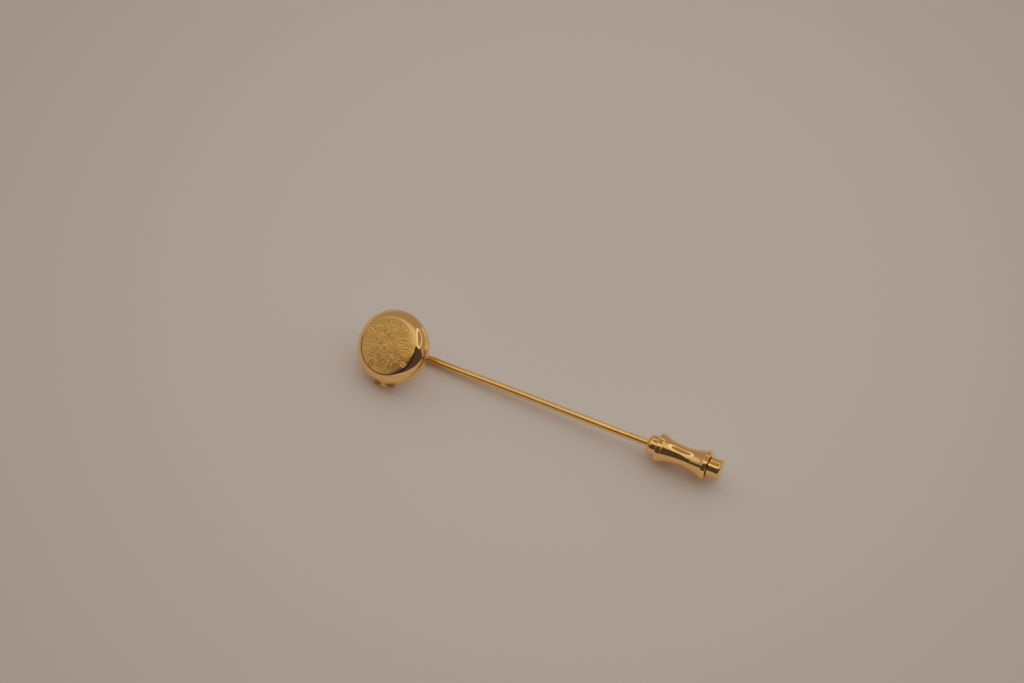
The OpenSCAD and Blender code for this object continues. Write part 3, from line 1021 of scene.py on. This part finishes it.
def fall_off(material, colour):
    """Darkens the card a little between two distances, and lights it again beyond the picture."""
    tree = material.node_tree
    shader = tree.nodes["Principled BSDF"]
    place = add_node(tree, "ShaderNodeTexCoord", {}).outputs["Object"]
    apart = add_node(tree, "ShaderNodeVectorMath", {0: place, 1: LIT_MIDDLE}, operation="DISTANCE")
    distance = apart.outputs["Value"]
    beyond = ease(tree, distance, *FAR_CARD)
    away = calculate(tree, "SUBTRACT", ease(tree, distance, *DIMMING), beyond)
    shaded = [value * CORNER_SHADE for value in colour]
    tree.links.new(blend(tree, away, colour, shaded), shader.inputs["Base Color"])
    near_glow = calculate(tree, "SUBTRACT", 1.0, away)
    far_glow = calculate(tree, "MULTIPLY", beyond, FAR_GLOW)
    glow = calculate(tree, "ADD", near_glow, far_glow)
    tree.links.new(glow, shader.inputs["Emission Strength"])


floor = flat_sheet("card", -FLOOR_HALF, FLOOR_HALF, -FLOOR_HALF, FLOOR_HALF, 0)
floor.data.materials.append(plain_material("card", CARD, CARD_GLOW))
fall_off(floor.data.materials[0], CARD)
print("card:", 2 * FLOOR_HALF, "m wide, bright again from", FAR_CARD[0] / MM, "mm")

# %% [markdown]
# ## The lamp and the reflector
# The bright loops on the bevel and along the clutch are made as one thing in two mirrors: a shaded lamp
# that hangs low over the pin, bright at its rim and dim inside. It hangs so close that each end of the
# pin sees it in another direction, so a far light from the world can't do it. It is a sheet here, with a
# bright rim. A plain sheet beside it is a reflector, and brightens the right end of the clutch's waist.
# The camera and matt light don't see the two, so they hardly change the light on the card.

# %% Hang the lamp
LAMP_AT = (0.0155, 0.023, 0.050)
LAMP_HALF = (0.0205, 0.029)
LAMP_RIM = 0.0045
LAMP_SQUARE = 0.8
RIM_LIGHT = (3.1, 2.2, 0.08)
LAMP_INSIDE = (0.36, 0.26, 0.18)
REFLECTOR_SIDES = (-0.034, -0.006, -0.026, -0.004)
REFLECTOR_LIGHT = (1.10, 0.76, 0.20)


def only_for_mirrors(sheet):
    """Hides a sheet from the camera and from matt surfaces."""
    sheet.visible_camera = False
    sheet.visible_diffuse = False
    sheet.visible_shadow = False


def oval(half_x, half_y, steps=64):
    """Points round a level oval at the lamp's place, between an ellipse and a rectangle."""
    points = []
    for a in np.arange(steps) * 2 * math.pi / steps:
        x, y = math.cos(a), math.sin(a)
        x, y = math.copysign(abs(x) ** LAMP_SQUARE, x), math.copysign(abs(y) ** LAMP_SQUARE, y)
        points.append((LAMP_AT[0] + half_x * x, LAMP_AT[1] + half_y * y, LAMP_AT[2]))
    return points


def hang_lamp():
    """A dim oval with a bright ring round it."""
    outer, inner = oval(*LAMP_HALF), oval(*(half - LAMP_RIM for half in LAMP_HALF))
    n = len(outer)
    faces = [(i, (i + 1) % n, (i + 1) % n + n, i + n) for i in range(n)] + [tuple(range(n, 2 * n))]
    sheet = make_piece("lamp", outer + inner, faces, AS_MADE)
    sheet.data.materials.append(plain_material("lamp rim", (0, 0, 0), RIM_LIGHT))
    sheet.data.materials.append(plain_material("lamp inside", (0, 0, 0), LAMP_INSIDE))
    sheet.data.polygons[n].material_index = 1
    only_for_mirrors(sheet)
    return sheet


lamp = hang_lamp()
reflector = flat_sheet("reflector", *REFLECTOR_SIDES, LAMP_AT[2])
reflector.data.materials.append(plain_material("reflector", (0, 0, 0), REFLECTOR_LIGHT))
only_for_mirrors(reflector)
print("lamp:", len(lamp.data.polygons), "faces at", LAMP_AT[2] / MM, "mm, and", reflector.name)

# %% [markdown]
# ## The light tent
# The rest of the room is the world, which can show each kind of ray its own picture. The card gets plain
# soft light, stronger from the far side, so the pin's shadow falls towards the viewer. The gold sees a
# warm tent with a dark opening on the viewer's side, which draws the dark bands along the clutch and the
# dark crescent on the locket. A light tent without a dark part would make gold look like flat paint.
# Two numbers name each direction: side runs from -1 at the left to 1 at the right, and turn runs in
# degrees from 0 at the near horizon over 90 overhead to 180 at the far one.

# %% Pictures in the tent
TENT = (0.395, 0.315, 0.25)
FAR_TENT = (0.36, 0.29, 0.26)
GLOW = (1.13, 0.81, 0.21)
OPENING = (0.080, 0.067, 0.095)
TENT_FOOT = (0.56, 0.45, 0.37)
SOFT_LIGHT = (0.78, 0.68, 0.60)
NEAR_SHARE, FAR_SHARE = 0.2, 1.8
BACKDROP = (0.44, 0.345, 0.28)


def tent_seen_by_gold(tree, side, turn):
    """Warm tent, a brighter stretch beside and above the opening, and the dark opening."""
    colour = blend(tree, ease(tree, turn, 95.0, 130.0), TENT, FAR_TENT)
    colour = blend(tree, ease(tree, turn, 14.0, 8.0), colour, TENT_FOOT)
    middle = calculate(tree, "MULTIPLY", ease(tree, side, -0.53, -0.40), ease(tree, turn, 42.0, 58.0))
    left = calculate(tree, "MULTIPLY", ease(tree, side, -0.82, -0.64), ease(tree, turn, 65.0, 76.0))
    left = calculate(tree, "MULTIPLY", left, ease(tree, turn, 112.0, 92.0))
    bright = calculate(tree, "MAXIMUM", middle, left)
    bright = calculate(tree, "MULTIPLY", bright, ease(tree, side, 0.75, 0.45))
    bright = calculate(tree, "MULTIPLY", bright, ease(tree, turn, 128.0, 104.0))
    colour = blend(tree, bright, colour, GLOW)
    top = calculate(tree, "ADD", calculate(tree, "MULTIPLY", ease(tree, side, -0.50, -0.05), 20.0), 55.0)
    top = calculate(tree, "ADD", calculate(tree, "MULTIPLY", ease(tree, side, 0.35, 0.7), 16.0), top)
    below_top = ease(tree, calculate(tree, "SUBTRACT", top, turn), -3.5, 3.0)
    dark = calculate(tree, "MULTIPLY", ease(tree, turn, 8.0, 14.0), below_top)
    dark = calculate(tree, "MULTIPLY", dark, ease(tree, side, -0.54, -0.46))
    colour = blend(tree, dark, colour, OPENING)
    skirt = calculate(tree, "MULTIPLY", ease(tree, turn, 44.0, 34.0), ease(tree, turn, 7.0, 12.0))
    skirt = calculate(tree, "MULTIPLY", skirt, ease(tree, side, -0.25, -0.45))
    return blend(tree, skirt, colour, OPENING)


def build_tent():
    """The world: plain soft light for the card, the tent for the gold and a backdrop for the camera."""
    world = bpy.data.worlds.new("light tent")
    world.use_nodes = True
    bpy.context.scene.world = world
    tree = world.node_tree
    tree.nodes.clear()
    way = add_node(tree, "ShaderNodeTexCoord", {}).outputs["Generated"]
    parts = add_node(tree, "ShaderNodeSeparateXYZ", {0: way}).outputs
    near = calculate(tree, "MULTIPLY", parts[1], -1.0)
    turn = calculate(tree, "DEGREES", calculate(tree, "ARCTAN2", parts[2], near))
    weaker = [value * NEAR_SHARE for value in SOFT_LIGHT]
    stronger = [value * FAR_SHARE for value in SOFT_LIGHT]
    soft = blend(tree, ease(tree, turn, 50.0, 130.0), weaker, stronger)
    rays = add_node(tree, "ShaderNodeLightPath", {}).outputs
    colour = blend(tree, rays["Is Glossy Ray"], soft, tent_seen_by_gold(tree, parts[0], turn))
    colour = blend(tree, rays["Is Camera Ray"], colour, BACKDROP)
    shine = add_node(tree, "ShaderNodeBackground", {0: colour, 1: 1.0})
    add_node(tree, "ShaderNodeOutputWorld", {0: shine.outputs[0]})
    return world


print("world:", build_tent().name)
